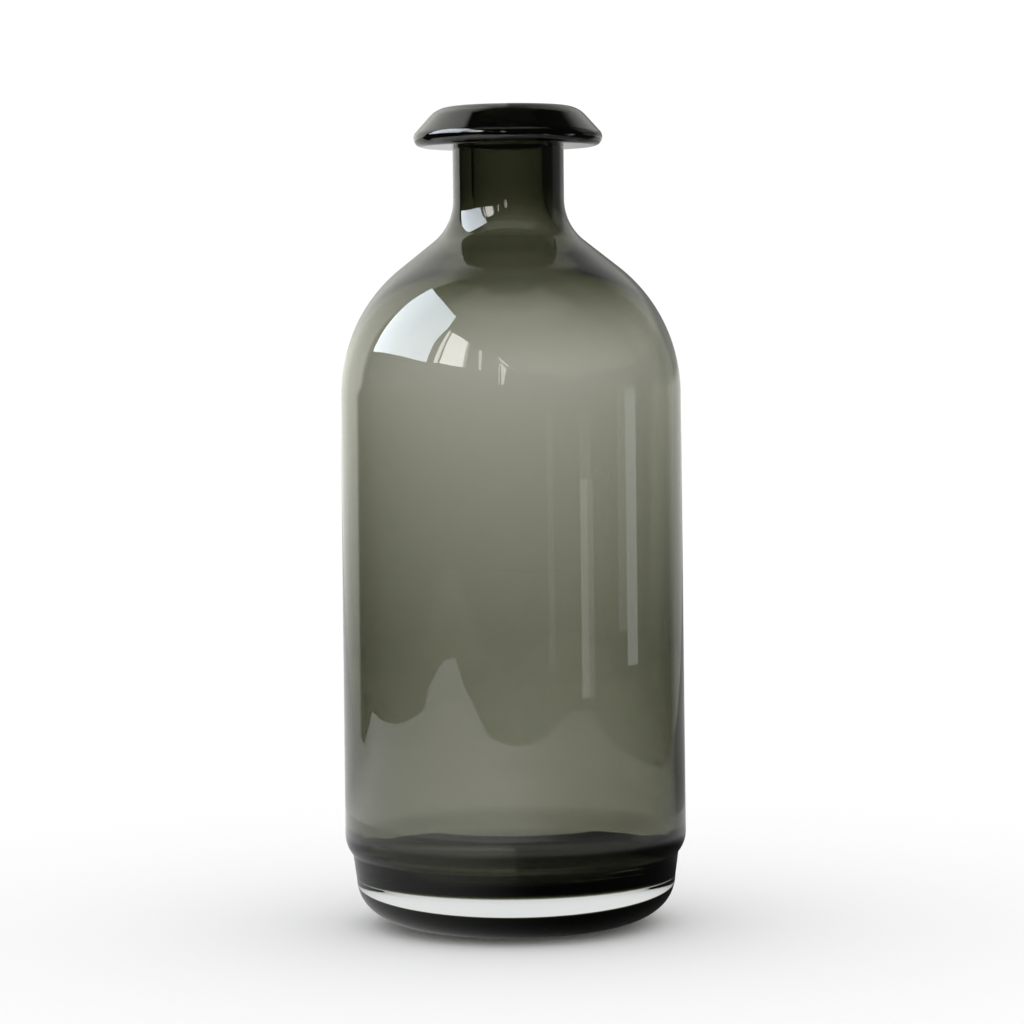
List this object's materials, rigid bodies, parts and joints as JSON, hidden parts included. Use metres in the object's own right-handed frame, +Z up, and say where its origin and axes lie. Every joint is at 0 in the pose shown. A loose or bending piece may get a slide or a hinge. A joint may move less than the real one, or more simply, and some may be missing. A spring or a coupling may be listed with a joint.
{
  "type": "bottle vase",
  "caption": "Tall smoke glass bottle vase for cut stems, with a straight body, sloping shoulder, thick neck, wide turned-down lip and heavy clear glass base.",
  "frame": {"origin": "centre of the resting plane, under the base", "axes": "+Z up along the vase's axis; X and Y are equal, because the vase is a body of revolution"},
  "size_m": [0.1256, 0.1256, 0.3],
  "materials": {
    "smoke_glass": "fire-polished, transparent smoke grey with an olive tint",
    "clear_glass": "fire-polished, clear and colourless"
  },
  "bodies": {
    "root": {"smoke_bottle": "smoke_glass", "clear_base": "clear_glass", "rolled_lip": "smoke_glass"}
  },
  "joints": []
}
